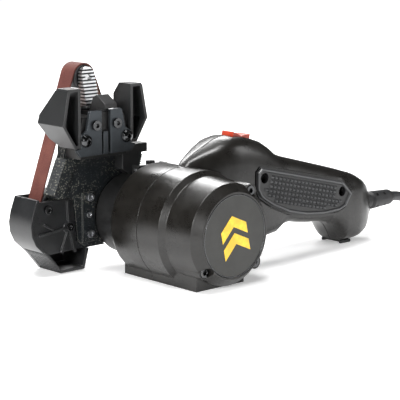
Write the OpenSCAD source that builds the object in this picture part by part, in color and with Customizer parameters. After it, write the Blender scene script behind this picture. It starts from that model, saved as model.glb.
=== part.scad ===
// Hand-held belt sander with a swivelling three-pulley cassette and a blade guide.
// X runs from the motor to the rear of the handle, Y from the badge to the cassette, Z up.
// The origin lies on the flat base, under the motor axis, half way along the base.

/* [Motor housing] */
// Height of the motor axis above the flat base
axis_h = 32.5; // [32:0.1:36]
// Outer radius of the motor barrel
barrel_r = 36.2; // [34:0.1:40]
// Radius of the barrel behind the cap
cap_r = 33.2; // [31.5:0.1:33.5]
// Distance from the joint plane of the shells to the front of the cap
cap_len = 49.2; // [46:0.1:56]
// Distance from the joint plane of the shells to the rear face of the barrel
rear_len = 28; // [26:0.1:34]
// Offset of the joint plane of the two shells from the middle of the base
seam_y = 7; // [4:0.1:10]
// Wall of the two moulded shells
wall = 2.8; // [2:0.1:3.2]
// Radius of the round badge
badge_r = 25.6; // [22:0.1:26]
// Reach of the base towards the cassette side of the motor axis
base_left = 23.6; // [20:0.1:25]
// Reach of the base towards the handle
base_right = 16; // [14:0.1:20]
// Length of the base along the motor axis
base_len = 66.8; // [60:0.1:68]

/* [Handle] */
// Distance from the motor axis to the end of the handle
handle_reach = 177.4; // [165:0.1:190]
// Half width of the handle
handle_half_w = 18.3; // [16.5:0.1:20]
// Thickness of each grip inlay
grip_t = 2.6; // [2:0.1:3]
// Radius of the cord
cord_r = 3.4; // [3:0.1:3.8]

/* [Neck and cassette] */
// Radius of the neck between the motor and the cassette
neck_r = 26; // [24:0.1:28]
// Length of the neck from the rear face of the barrel
neck_len = 26.5; // [25:0.1:32]
// Radius of the spigot that the cassette swivels on
spigot_r = 11; // [10:0.1:12]
// Width of the abrasive belt
belt_w = 12.7; // [10:0.1:16]
// Thickness of the abrasive belt
belt_t = 0.9; // [0.7:0.1:1.1]
// Radius of the drive pulley
drive_r = 13.5; // [13:0.1:15]
// Radius of the tension roller at the top
top_r = 7.7; // [7:0.1:8.5]
// Radius of the idler roller at the bottom
idler_r = 11.5; // [10.5:0.1:12.5]
// Distance of the tension roller from the motor axis, sideways
top_dx = 29; // [27:0.1:31]
// Height of the tension roller above the motor axis
top_dz = 89.7; // [86:0.1:94]
// Distance of the idler roller from the motor axis, sideways
idler_dx = 53.5; // [51:0.1:56]
// Height of the idler roller above the motor axis
idler_dz = 8.9; // [7:0.1:11]
// Travel of the tension roller when the arm is pushed down
tension_travel = 8; // [6:0.5:9]

/* [Blade guide] */
// Distance from the front of the guide plates to the near edge of the belt
guide_gap = 22; // [20:0.1:24]
// Thickness of the guide plates
plate_t = 2.4; // [2:0.1:2.8]
// Wall of the two guide wings
wing_wall = 1.8; // [1.4:0.1:2]
// Half distance between the inner walls of the wings
wing_in = 20; // [19.5:0.1:22]
// Height of the wings
wing_h = 37; // [32:0.1:42]

/* [Fasteners and fits] */
// Shank radius of the housing screws
screw_r = 1.9; // [1.5:0.1:2]
// Radius of the motor shaft
shaft_r = 4; // [3.5:0.1:4.5]
// Radius of the roller axles
axle_r = 2; // [1.6:0.1:2.4]
// Radial clearance of running fits
run_fit = 0.06; // [0.03:0.01:0.1]
// Clearance between pieces that must not touch
gap = 0.4; // [0.3:0.1:0.6]

/* [Hidden] */
$fn = 64;
eps = 0.01;

// Places along Y
cap_y = seam_y - cap_len;
bevel_y = cap_y + 5.6;
step_y = cap_y + 26.2;
rear_y = seam_y + rear_len;
neck_y = rear_y + neck_len;
cover_t = 2;
cover_y = neck_y - cover_t;
frame_t = 2.6;
frame_y = neck_y;
belt_y = frame_y + 4.1;
belt_y1 = belt_y + belt_w;
frame_y1 = belt_y1 - 0.6;
guide_y = belt_y - guide_gap;
block_y = guide_y + plate_t + gap;

// Pulley centres in the X-Z plane
top_x = -top_dx;
top_z = axis_h + top_dz;
idler_x = -idler_dx;
idler_z = axis_h + idler_dz;
pulley_over = 0.4;
pulley_y0 = belt_y - pulley_over;
pulley_y1 = belt_y1 + pulley_over;

// Helpers: a solid of revolution about the motor axis, a cylinder along Y, an X-Z outline
module about_motor() { translate([0, 0, axis_h]) rotate([-90, 0, 0]) rotate_extrude(convexity = 6) children(); }
module along_y(x, z, y0, y1, r) { translate([x, y0, z]) rotate([-90, 0, 0]) cylinder(h = y1 - y0, r = r); }
module outline_xz(y0, y1) { translate([0, y1, 0]) rotate([90, 0, 0]) linear_extrude(y1 - y0, convexity = 8) children(); }
module box(x0, x1, y0, y1, z0, z1) { translate([x0, y0, z0]) cube([x1 - x0, y1 - y0, z1 - z0]); }
module below_base() { box(-120, 220, -120, 140, -60, 0); }

// Straight runs through the rows [x, value]
function curve(rows, x, i = 0) =
    x <= rows[0][0] ? rows[0][1] :
    i >= len(rows) - 1 ? rows[len(rows) - 1][1] :
    x <= rows[i + 1][0] ? rows[i][1] + (rows[i + 1][1] - rows[i][1])
        * (x - rows[i][0]) / (rows[i + 1][0] - rows[i][0]) :
    curve(rows, x, i + 1);

// Handle: top line, bottom line and half width against the distance from the motor axis
reach = handle_reach;
heel_z = 2;
top_line = [
    [-4, 64], [4, 72.2], [12, 76.4], [20, 79.8], [28, 83.4], [34, 84.8], [46, 84.2], [58, 81], [66, 76.2],
    [73, 70.6], [80, 67.9], [104, 61.4], [reach - 48, 54.5], [reach - 29, 48.9], [reach - 19, 44.4],
    [reach - 13, 40.8], [reach - 8, 35.6], [reach - 4, 30], [reach - 1.4, 24], [reach, 19]];
bottom_line = [
    [-4, 58], [24, 24], [60, 15], [73, 17], [80, 21.6], [87, 22.6], [100, 19.9], [reach - 64, 18.8],
    [reach - 52, 17.4], [reach - 46, 13.8], [reach - 42, 8.4], [reach - 39.6, 4], [reach - 38, heel_z],
    [reach - 27, heel_z], [reach - 20, 2.8], [reach - 12, 5], [reach - 7, 8], [reach - 3, 12.4], [reach - 1, 15.6],
    [reach, 18]];
half_width = [
    [-4, 3], [4, 6.5], [12, 11], [18, 14.6], [24, handle_half_w - 0.6], [32, handle_half_w],
    [64, handle_half_w], [84, handle_half_w - 0.6], [reach - 27, handle_half_w - 1.2],
    [reach - 20, handle_half_w - 3], [reach - 14, handle_half_w - 5.9], [reach - 9.4, handle_half_w - 9.3],
    [reach - 5.8, handle_half_w - 11.8], [reach - 2.5, handle_half_w - 14.4], [reach, handle_half_w - 15.6]];
stations = concat([for (x = [-4 : 8 : 60]) x], [66, 73, 80, 87, 94, 104], [for (b = [64, 54, 50, 46, 43, 41,
    39.4, 38, 32, 27, 22, 17, 12, 8, 5, 2.5, 1, 0]) reach - b]);
round_power = 3.6;
arc_steps = 12;
groove_a = 89.9;
groove = 0.5;

function side_point(x, skin, a) = let(
        z1 = curve(top_line, x), z0 = curve(bottom_line, x),
        h = max((z1 - z0) / 2 - skin - (abs(a) == 90 ? groove : 0), 0.5), w = max(curve(half_width, x) - skin, 0.5))
    [x, -w * pow(abs(cos(a)), 2 / round_power),
        (z1 + z0) / 2 + h * sign(sin(a)) * pow(abs(sin(a)), 2 / round_power)];
function squeeze(x, skin) = let(a = stations[0] + skin, b = reach - skin)
    a + (x - stations[0]) * (b - a) / (reach - stations[0]);

// One half of the handle as an open moulded shell, with its rim on the plane y = 0
module half_handle(skin) {
    n = len(stations);
    m = arc_steps + 3;
    // A narrow step beside the rim leaves the fine groove where the shells meet
    angles = concat([-90, -groove_a], [for (k = [1 : arc_steps - 1]) -90 + 180 * k / arc_steps], [groove_a, 90]);
    outer = [for (x = stations) for (a = angles) side_point(x, 0, a)];
    inner = [for (x = stations) for (a = angles) side_point(squeeze(x, skin), skin, a)];
    o = n * m;
    last = n - 1;
    walls = [for (i = [0 : n - 2]) for (k = [0 : m - 2]) each [
        [i * m + k, i * m + k + 1, (i + 1) * m + k + 1], [i * m + k, (i + 1) * m + k + 1, (i + 1) * m + k],
        [o + i * m + k, o + (i + 1) * m + k + 1, o + i * m + k + 1],
        [o + i * m + k, o + (i + 1) * m + k, o + (i + 1) * m + k + 1]]];
    rims = [for (i = [0 : n - 2]) each [
        [i * m, (i + 1) * m, o + i * m], [(i + 1) * m, o + (i + 1) * m, o + i * m],
        [i * m + m - 1, o + i * m + m - 1, (i + 1) * m + m - 1],
        [(i + 1) * m + m - 1, o + i * m + m - 1, o + (i + 1) * m + m - 1]]];
    ends = [
        [for (k = [m - 1 : -1 : 0]) k], [for (k = [0 : m - 1]) o + k],
        [for (k = [0 : m - 1]) last * m + k], [for (k = [m - 1 : -1 : 0]) o + last * m + k],
        [0, o, o + m - 1, m - 1],
        [last * m, last * m + m - 1, o + last * m + m - 1, o + last * m]];
    polyhedron(concat(outer, inner), concat(walls, rims, ends), convexity = 8);
}

// Housing screws: places round the motor axis
housing_screw_at = [[-20.9, axis_h - 20.1], [17.2, axis_h + 25.1], [21.6, axis_h - 20.1]];
boss_r = 4.4;
boss_in_r = 3.3;
screw_head_r = 3.2;
screw_head_y = cap_y + 4.2;
screw_end_y = seam_y + 13;
grip_screw_at = [[55.5, 57.2], [reach - 47.8, 39.3]];
rocker_x = 47.5;
rocker_z = 83.4;
rocker_tilt = 11;
rocker_len = 15;
rocker_w = 10.4;
gland_z = 24;

module housing_cavity() {
    difference() {
        about_motor() polygon([[0, cap_y + 6.5], [24, cap_y + 6.5], [cap_r - wall - 1.4, bevel_y + 3],
            [cap_r - wall, step_y], [barrel_r - wall, step_y + 3.4], [barrel_r - wall, rear_y - 4.5],
            [barrel_r - wall - 3, rear_y - wall], [0, rear_y - wall]]);
        box(-60, 60, -80, 80, -20, 2.6);
        for (p = housing_screw_at) along_y(p[0], p[1], cap_y, screw_end_y + 3, boss_in_r);
        // Ribs that hold the stator
        difference() {
            union() {
                along_y(0, axis_h, seam_y - 16, seam_y - 12, barrel_r);
                along_y(0, axis_h, seam_y + 3, seam_y + 7, barrel_r);
            }
            along_y(0, axis_h, cap_y, rear_y, stator_r);
        }
        // Seats of the two bearings
        difference() {
            union() {
                along_y(0, axis_h, cap_y, front_bearing_y + bearing_w, bearing_r + 2.4);
                along_y(0, axis_h, rear_bearing_y, rear_y, bearing_r + 2.4);
            }
            along_y(0, axis_h, front_bearing_y, front_bearing_y + bearing_w + 1, bearing_r);
            along_y(0, axis_h, rear_bearing_y - 1, rear_bearing_y + bearing_w, bearing_r);
        }
    }
}

module barrel_solid() {
    difference() {
        union() {
            about_motor() polygon([[0, cap_y], [badge_r + 1.2, cap_y], [cap_r - 1.6, bevel_y], [cap_r, step_y],
                [barrel_r, step_y + 3.4], [barrel_r, rear_y - 5], [barrel_r - 1.4, rear_y - 1.8],
                [barrel_r - 4.6, rear_y], [0, rear_y]]);
            box(-base_left, base_right, -base_len / 2, min(base_len / 2, rear_y), 0, 15);
            for (p = housing_screw_at) along_y(p[0], p[1], bevel_y - 1.2, step_y + 2, boss_r);
        }
        below_base();
    }
}

module shell_cuts() {
    about_motor() polygon([[0, cap_y - 1], [badge_r + 0.1, cap_y - 1], [badge_r + 0.1, cap_y + badge_t],
        [0, cap_y + badge_t]]);
    for (p = housing_screw_at) {
        along_y(p[0], p[1], cap_y - 2, screw_head_y + 2.4, screw_head_r + 0.3);
        along_y(p[0], p[1], cap_y, screw_end_y + eps, screw_r);
    }
    along_y(0, axis_h, front_bearing_y, rear_y + 1, shaft_r + 1);
    // Fine groove where the shells meet
    ring_y(seam_y - groove / 2, seam_y + groove / 2, barrel_r - groove, barrel_r + 2);
    // Vent slots under the barrel, towards the cassette side
    for (k = [0 : 3]) box(-7.5, 7.5, seam_y + 6 + 4.2 * k, seam_y + 8 + 4.2 * k, -1, 5);
    translate([rocker_x, seam_y, rocker_z]) rotate([0, rocker_tilt, 0])
        translate([-rocker_len / 2 - 2 * gap, -rocker_w / 2 - gap, -8])
            cube([rocker_len + 4 * gap, rocker_w + 2 * gap, 20]);
    translate([reach - 14, seam_y, gland_z]) rotate([0, 90, 0]) cylinder(h = 26, r = cord_r + 1.6);
}

grip_points = [[52, 66], [reach - 46.5, 47.2], [reach - 36.2, 37.2], [reach - 43, 27.4], [reach - 50, 25],
    [reach - 66, 24.6], [94, 26.4], [78, 30.2], [62, 36.8], [51, 43.6], [47, 50], [47.6, 62.2]];
module grip_outline(inset) { offset_polygon(grip_points, inset); }
// Moves each edge of a clockwise outline inwards by the inset
function edge_shift(p, q, d) = let(v = q - p, n = [v[1], -v[0]] / norm(v)) [p + n * d, q + n * d];
function meet(a, b) = let(u = a[1] - a[0], v = b[1] - b[0], w = b[0] - a[0],
    t = (w[0] * v[1] - w[1] * v[0]) / (u[0] * v[1] - u[1] * v[0])) a[0] + u * t;
module offset_polygon(points, d) {
    n = len(points);
    edges = [for (i = [0 : n - 1]) edge_shift(points[i], points[(i + 1) % n], d)];
    polygon([for (i = [0 : n - 1]) meet(edges[(i + n - 1) % n], edges[i])]);
}
grip_floor = handle_half_w - 2.2;

module grip_pocket() { outline_xz(-handle_half_w - 6, -grip_floor) grip_outline(0); }

// With a floor behind the inlay and two screw posts
module handle_half_solid() {
    difference() {
        union() {
            difference() {
                half_handle(wall);
                grip_pocket();
            }
            outline_xz(-grip_floor, -grip_floor + 1.6) grip_outline(-1);
            for (p = grip_screw_at) along_y(p[0], p[1], -grip_floor, 0, 3.6);
        }
        for (p = grip_screw_at) along_y(p[0], p[1], -grip_floor - 1, 1, screw_r);
        for (p = grip_screw_at) along_y(p[0], p[1], -grip_floor - 1, -grip_floor + 4, screw_head_r + 0.2);
    }
}

module front_shell() {
    color("#2b2b2a") {
        difference() {
            barrel_solid();
            box(-120, 220, seam_y, 140, -60, 140);
            housing_cavity();
            shell_cuts();
        }
        difference() {
            translate([0, seam_y, 0]) handle_half_solid();
            along_y(0, axis_h, cap_y, seam_y + 1, barrel_r - 0.6);
            shell_cuts();
        }
    }
}

module rear_shell() {
    color("#2b2b2a") {
        difference() {
            barrel_solid();
            box(-120, 220, -140, seam_y, -60, 140);
            housing_cavity();
            shell_cuts();
        }
        difference() {
            translate([0, seam_y, 0]) mirror([0, 1, 0]) handle_half_solid();
            along_y(0, axis_h, seam_y - 1, rear_y - 1, barrel_r - 0.6);
            shell_cuts();
        }
    }
}

badge_t = 1.2;
module badge() {
    color("#6b6d6e") about_motor() polygon([[0, cap_y + 0.2], [badge_r - 0.5, cap_y + 0.2],
        [badge_r, cap_y + 0.6], [badge_r, cap_y + badge_t], [0, cap_y + badge_t]]);
}

module grip_inlay() {
    difference() {
        union() {
            outline_xz(-grip_floor - grip_t + 0.6, -grip_floor) grip_outline(1);
            outline_xz(-grip_floor - grip_t, -grip_floor) grip_outline(2);
        }
        for (p = grip_screw_at) along_y(p[0], p[1], -grip_floor - grip_t - 1, 0, screw_head_r + 0.2);
    }
}
module front_grip() { color("#3c3d3e") translate([0, seam_y, 0]) grip_inlay(); }
module rear_grip() { color("#3c3d3e") translate([0, seam_y, 0]) mirror([0, 1, 0]) grip_inlay(); }

// Socket-head screw along +Y with its head at the low end
module screw_y(x, z, y0, y1, shank, head, head_h) {
    difference() {
        union() {
            along_y(x, z, y0, y0 + head_h, head);
            along_y(x, z, y0 + head_h - eps, y1, shank);
        }
        translate([x, y0 - eps, z]) rotate([-90, 0, 0]) cylinder(h = head_h * 0.6, r = head * 0.55, $fn = 6);
    }
}
module housing_screws() {
    color("#8c8f92") for (p = housing_screw_at)
        screw_y(p[0], p[1], screw_head_y, screw_end_y, screw_r, screw_head_r, 2.4);
}
module handle_screws() {
    color("#8c8f92") for (p = grip_screw_at)
        screw_y(p[0], p[1], seam_y - grip_floor + 1.2, seam_y + grip_floor - 4, screw_r, screw_head_r, 2.6);
}
module heel_pad() {
    color("#1c1c1c") {
        box(reach - 37.4, reach - 27.6, seam_y - 9, seam_y + 9, 1, heel_z);
        // Rails that stand on the floor
        for (s = [-1, 1]) box(reach - 37.4, reach - 27.6, seam_y + 8 * s - 1, seam_y + 8 * s + 1, 0, 1.5);
    }
}

// Motor
stator_r = 25.4;
stator_in = 19;
armature_r = 18.4;
bearing_r = 9;
bearing_w = 6;
front_bearing_y = cap_y + 7.6;
rear_bearing_y = rear_y - wall - bearing_w;
commutator_y = front_bearing_y + bearing_w + 1.6;
commutator_w = 8;
armature_y = commutator_y + commutator_w + 1.5;
fan_y = rear_bearing_y - 8.4;
armature_y1 = fan_y - 3;
module ring_y(y0, y1, r0, r1) {
    difference() {
        along_y(0, axis_h, y0, y1, r1);
        along_y(0, axis_h, y0 - 1, y1 + 1, r0);
    }
}
module field_stator() {
    color("#7d7f82") difference() {
        ring_y(seam_y - 18, seam_y + 9, stator_in, stator_r);
        // Winding slots along the inside
        for (a = [0 : 30 : 330]) translate([0, 0, axis_h]) rotate([0, a, 0])
            box(-1.4, 1.4, seam_y - 19, seam_y + 10, stator_in - 1, stator_in + 3.4);
    }
}
module armature() {
    color("#a0622d") difference() {
        ring_y(armature_y, armature_y1, shaft_r, armature_r);
        for (a = [0 : 30 : 330]) translate([0, 0, axis_h]) rotate([0, a, 0])
            box(-0.9, 0.9, armature_y - 1, armature_y1 + 1, armature_r - 4, armature_r + 2);
    }
}
module commutator() { color("#b87333") ring_y(commutator_y, commutator_y + commutator_w, shaft_r, 9); }
module cooling_fan() {
    color("#d8d8d2") {
        ring_y(fan_y, fan_y + 6.6, shaft_r, 7);
        ring_y(fan_y, fan_y + 1.4, 6.5, 24);
        for (a = [0 : 40 : 320]) translate([0, 0, axis_h]) rotate([0, a, 0])
            box(-0.6, 0.6, fan_y + 0.7, fan_y + 6, 6.5, 23.5);
    }
}
module brush_side(sx, x0, x1, half) {
    translate([sx > 0 ? x0 : -x1, commutator_y + commutator_w / 2 - half, axis_h - half])
        cube([x1 - x0, 2 * half, 2 * half]);
}
module carbon_brushes() { color("#3a3a3c") for (s = [-1, 1]) brush_side(s, 9.1, 17, 2.4); }
module brush_holders() {
    color("#b08d57") for (s = [-1, 1]) difference() {
        brush_side(s, 11, cap_r - wall - 4, 3.6);
        brush_side(s, 10, 17, 2.4);
    }
}
module ball_bearing(y0) {
    difference() {
        ring_y(y0, y0 + bearing_w, shaft_r + run_fit, bearing_r);
        ring_y(y0 - 1, y0 + 0.5, shaft_r + 1.8, bearing_r - 1.6);
        ring_y(y0 + bearing_w - 0.5, y0 + bearing_w + 1, shaft_r + 1.8, bearing_r - 1.6);
    }
}
module front_bearing() { color("silver") ball_bearing(front_bearing_y); }
module rear_bearing() { color("silver") ball_bearing(rear_bearing_y); }
module motor_shaft() { color("#b9bcc0") along_y(0, axis_h, front_bearing_y + 0.5, pulley_y1 + 0.4, shaft_r); }
module drive_pulley() {
    color("#2a2a2c") difference() {
        union() {
            ring_y(pulley_y0, pulley_y1, shaft_r, drive_r - 0.3);
            ring_y(belt_y + 2, belt_y1 - 2, shaft_r, drive_r);
        }
        for (a = [0 : 60 : 300]) translate([0, 0, axis_h]) rotate([0, a, 0])
            along_y(0, 8.6, pulley_y0 - 1, pulley_y1 + 1, 2);
    }
}

// Switch
pivot_drop = 6.2;
pin_r = 1.3;
module in_rocker() { translate([rocker_x, seam_y, rocker_z]) rotate([0, rocker_tilt, 0]) children(); }
module switch_rocker() {
    color("#d8432a") in_rocker() difference() {
        rotate([90, 0, 0]) translate([0, 0, -rocker_w / 2]) linear_extrude(rocker_w) polygon([
            [-rocker_len / 2 + 0.2, -1.2], [-rocker_len / 2, 2.3], [-1.2, 0.9], [0, 0.3], [1.2, 0.9], [rocker_len / 2, 2.3],
            [rocker_len / 2 - 0.2, -1.2], [4.5, -9], [-4.5, -9]]);
        translate([0, -rocker_w, -pivot_drop]) rotate([-90, 0, 0]) cylinder(h = 2 * rocker_w, r = pin_r + run_fit);
    }
}
module switch_body() {
    color("#202022") difference() {
        switch_solid();
        along_y(0, axis_h, cap_y, rear_y, barrel_r + gap);
    }
}
module switch_solid() {
    in_rocker() {
        difference() {
            translate([-rocker_len / 2 + 0.6, -rocker_w / 2 - 2.2, -24]) cube([rocker_len - 1.2, rocker_w + 4.4, 19.4]);
            translate([-rocker_len / 2 - 1, -rocker_w / 2 - gap, -12]) cube([rocker_len + 2, rocker_w + 2 * gap, 14]);
        }
        translate([0, -rocker_w / 2 - 2, -pivot_drop]) rotate([-90, 0, 0]) cylinder(h = rocker_w + 4, r = pin_r);
        for (s = [-1, 0, 1]) translate([6 * s - 1.5, -0.4, -29]) cube([3, 0.8, 5.5]);
    }
}

// Neck with the spigot that carries the cassette, and lugs for the release lever
lever_x0 = -3;
lever_x1 = 17;
lever_pin_y = rear_y + 9;
lever_pin_z = axis_h + neck_r + 4.2;
neck_end = neck_y - cover_t - gap;
module neck_collar() {
    color("#17181a") difference() {
        union() {
            about_motor() polygon([[0, rear_y], [neck_r + 1.2, rear_y], [neck_r + 1.2, rear_y + 2],
                [neck_r, rear_y + 3.5], [neck_r, neck_end], [spigot_r + 3, neck_end],
                [spigot_r + 3, neck_y - gap], [spigot_r, neck_y - gap], [spigot_r, frame_y + frame_t],
                [0, frame_y + frame_t]]);
            for (x = [lever_x0 - 2.4, lever_x1 + gap])
                box(x, x + 2, lever_pin_y - 3, lever_pin_y + 3, axis_h + 2, lever_pin_z + 2.6);
        }
        about_motor() polygon([[0, rear_y - 1], [neck_r - 5, rear_y - 1], [neck_r - 5, neck_end - 5],
            [shaft_r + 1.5, neck_end - 3], [shaft_r + 1.5, frame_y + frame_t + 1], [0, frame_y + frame_t + 1]]);
        translate([lever_x0 - 4, lever_pin_y, lever_pin_z]) rotate([0, 90, 0])
            cylinder(h = lever_x1 - lever_x0 + 8, r = 1.1);
    }
}
module lever_pin() {
    color("silver") translate([lever_x0 - 2.4, lever_pin_y, lever_pin_z]) rotate([0, 90, 0])
        cylinder(h = lever_x1 - lever_x0 + 4.8, r = 1.1);
}
pawl_x = 13.4;
arc_y0 = cover_y - 8;
// Ends of the toothed edge
tooth_x0 = 3.4;
tooth_z0 = axis_h + 27.4;
tooth_x1 = 6.4;
tooth_z1 = axis_h + 38.4;
module release_lever() {
    color("#1d1e20") difference() {
        union() {
            box(lever_x0, lever_x1, rear_y + 2, lever_pin_y + 4, lever_pin_z - 1.2, lever_pin_z + 1.2);
            translate([lever_x0, lever_pin_y, lever_pin_z]) rotate([0, 90, 0])
                cylinder(h = lever_x1 - lever_x0, r = 2.4);
            // Pawl, which stops short of the toothed arc
            box(pawl_x - 4, pawl_x + 0.4, lever_pin_y + 3, arc_y0 - gap, lever_pin_z - 1.2, lever_pin_z + 3.6);
        }
        translate([lever_x0 - 1, lever_pin_y, lever_pin_z]) rotate([0, 90, 0])
            cylinder(h = lever_x1 - lever_x0 + 2, r = 1.1 + run_fit);
    }
}

// Strain relief and cord
relief_x0 = reach - 2.4;
relief_len = 25.4;
relief_r = 6.3;
relief_x1 = relief_x0 + relief_len;
module strain_relief() {
    color("#2a2b2c") translate([relief_x0, seam_y, gland_z]) rotate([0, 90, 0]) difference() {
        union() {
            translate([0, 0, -10.6]) cylinder(h = 10.6, r = cord_r + 1.6);
            translate([0, 0, -12.8]) cylinder(h = 2.2, r = cord_r + 2.4);
            rotate_extrude() polygon([[0, 0], [cord_r + 1.6, 0], [cord_r + 1.6, 2.8], [relief_r, 4.6], [5.4, relief_len - 2],
                [4.6, relief_len], [0, relief_len]]);
        }
        for (a = [45 : 90 : 315]) for (z = [7, 15]) rotate([0, 0, a]) translate([3.6, -1, z]) cube([4, 2, 2.2]);
        translate([0, 0, -14]) cylinder(h = 8, r = cord_r);
    }
}
coil_x = 355;
coil_y = 6;
coil_mean = 41;
coil_out = 48;
// Route of the free cord, points chosen along a gentle fall to the floor
route = [
    [relief_x1, 7, 24], [206, 7, 23.7], [214, 7, 22.2], [222, 7.2, 19.6], [230, 7.6, 16.2], [238, 8, 12.6],
    [246, 8.3, 9.2], [254, 8.3, 6.6], [262, 7.6, 4.6], [270, 5.8, 3.7], [278, 2.4, 3.5], [286, -2.8, 3.5],
    [293, -8.8, 3.5], [300, -15.6, 3.5], [308, -23.4, 3.5], [318.2, -31.4, 3.5], [329.2, -37, 3.5],
    [341, -39.8, 3.5], [coil_x - 3, coil_y - coil_out + 0.6, 3.5]];
tube_sides = 8;
function unit(v) = v / norm(v);
function heading(route, i) = i == 0 || i == len(route) - 1 ? [1, 0, 0] : unit(route[i + 1] - route[i - 1]);
// From the outside of the coil to the plug
tail_route = [[coil_x + 3, coil_y - coil_out, 17.5], [365, -42, 17.3], [375, -41.8, 16.1], [385, -41.4, 13.7],
    [395, -40.8, 10.6], [404, -40.2, 8], [414, -40, 7]];
plug_x = 414;
plug_y = -40;
plug_z = 7;
module tube(route) {
    n = len(route);
    points = [for (i = [0 : n - 1]) let(t = heading(route, i), s = unit(cross([0, 0, 1], t)), u = cross(t, s))
        for (k = [0 : tube_sides - 1]) let(a = 360 * (k + 0.5) / tube_sides) route[i] + cord_r * (s * cos(a) + u * sin(a))];
    sides = [for (i = [0 : n - 2]) for (k = [0 : tube_sides - 1]) let(j = (k + 1) % tube_sides)
        [i * tube_sides + k, (i + 1) * tube_sides + k, (i + 1) * tube_sides + j, i * tube_sides + j]];
    quads = [for (f = sides) each [[f[0], f[1], f[2]], [f[0], f[2], f[3]]]];
    color("#2e3033") polyhedron(points, concat(quads, [[for (k = [0 : tube_sides - 1]) k],
        [for (k = [tube_sides - 1 : -1 : 0]) (n - 1) * tube_sides + k]]), convexity = 6);
}
module cord_tube() { tube(route); }
module cord_tail() { tube(tail_route); }
// Outer shape of the round coil, lying flat: two layers of three turns and one turn on top
coil_section = [[-10.4, 2.6], [-8, 0], [8, 0], [10.4, 2.6], [10.4, 18.4], [8, 21], [5.6, 21], [3, 15.4], [0, 14],
    [-8, 14], [-10.4, 11.4]];
module cord_coil() {
    color("#2e3033") translate([coil_x, coil_y, 0]) rotate_extrude(convexity = 4)
        translate([coil_mean, 0]) polygon(coil_section);
}
tie_w = 5;
module cord_tie() {
    color("#111111") translate([coil_x, coil_y + tie_w / 2, 0]) rotate([90, 0, 0]) linear_extrude(tie_w) difference() {
        intersection() {
            translate([coil_mean, 0]) offset(delta = 1.2) polygon(coil_section);
            square([100, 40]);
        }
        translate([coil_mean, 0]) offset(delta = 0.15) polygon(coil_section);
    }
}
// Two-pin plug lying on the floor beside the coil
module plug_body() {
    color("#242528") translate([plug_x, plug_y, plug_z]) difference() {
        union() {
            rotate([0, 90, 0]) cylinder(h = 12, r1 = 4.6, r2 = 6.4);
            translate([11, -12, -7]) cube([25, 24, 14]);
        }
        for (s = [-1, 1]) translate([32, 6.35 * s - 0.75, -3.15]) cube([5, 1.5, 6.3]);
        translate([27, -14, -8]) cube([2, 4, 16]);
        translate([27, 10, -8]) cube([2, 4, 16]);
    }
}
module plug_blades() {
    color("silver") for (s = [-1, 1]) translate([plug_x + 32, plug_y + 6.35 * s - 0.75, plug_z - 3.15])
        cube([21, 1.5, 6.3]);
}

// Cassette
cover_points = [[top_x - 12.4, axis_h + 45], [top_x - 12.4, axis_h + 39.7], [-51.3, axis_h + 15.4],
    [-43, axis_h + 14.6], [-40.4, axis_h - 13.6], [-34, axis_h - 18.6], [-13, axis_h - 18.6],
    [-13, axis_h + 10], [2.5, axis_h + 28.2], [-0.2, axis_h + 38.4], [-2.4, axis_h + 45]];
module cover_outline() { polygon(cover_points); }
cover_screw_at = [[-neck_r - 5.2, axis_h + 13.8], [-neck_r - 5.2, axis_h - 9.8]];
cover_small_at = [[-neck_r - 6, axis_h + 2.6]];
module cassette_cover() {
    color("#24282c") difference() {
        union() {
            outline_xz(cover_y, neck_y) cover_outline();
            // Raised strip with the cover screws
            box(-neck_r - 11, -neck_r - 1.4, cover_y - 1.2, cover_y + 0.5, axis_h - 15, axis_h + 17);
        }
        along_y(0, axis_h, cover_y - 5, neck_y + 1, neck_r + gap);
        for (p = concat(cover_screw_at, cover_small_at)) along_y(p[0], p[1], cover_y - 5, neck_y + 1, 1.2);
    }
}
module cover_screws() {
    color("#6f7276") {
        for (p = cover_screw_at) screw_y(p[0], p[1], cover_y - 2.8, frame_y + 3.4, 1.2, 2.6, 1.6);
        for (p = cover_small_at) screw_y(p[0], p[1], cover_y - 2.2, frame_y + 3.4, 1.2, 1.9, 1);
    }
}
web_points = [[top_x - 11.4, axis_h + 72], [-57, axis_h + 15.6], [-68, axis_h + 13], [-70, axis_h - 3],
    [-62, axis_h - 15], [-38, axis_h - 19], [4, axis_h - 17], [13, axis_h - 11], [17.4, axis_h],
    [15.6, axis_h + 8], [top_x + 17.4, axis_h + 42], [top_x + 11.4, axis_h + 72]];
stem_half = 5;
stem_y0 = belt_y + 1.2;
stem_y1 = belt_y1 - 1.4;
stem_z0 = top_z - 52;
spring_seat_z = axis_h + 20;
spring_r = 3.4;
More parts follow.
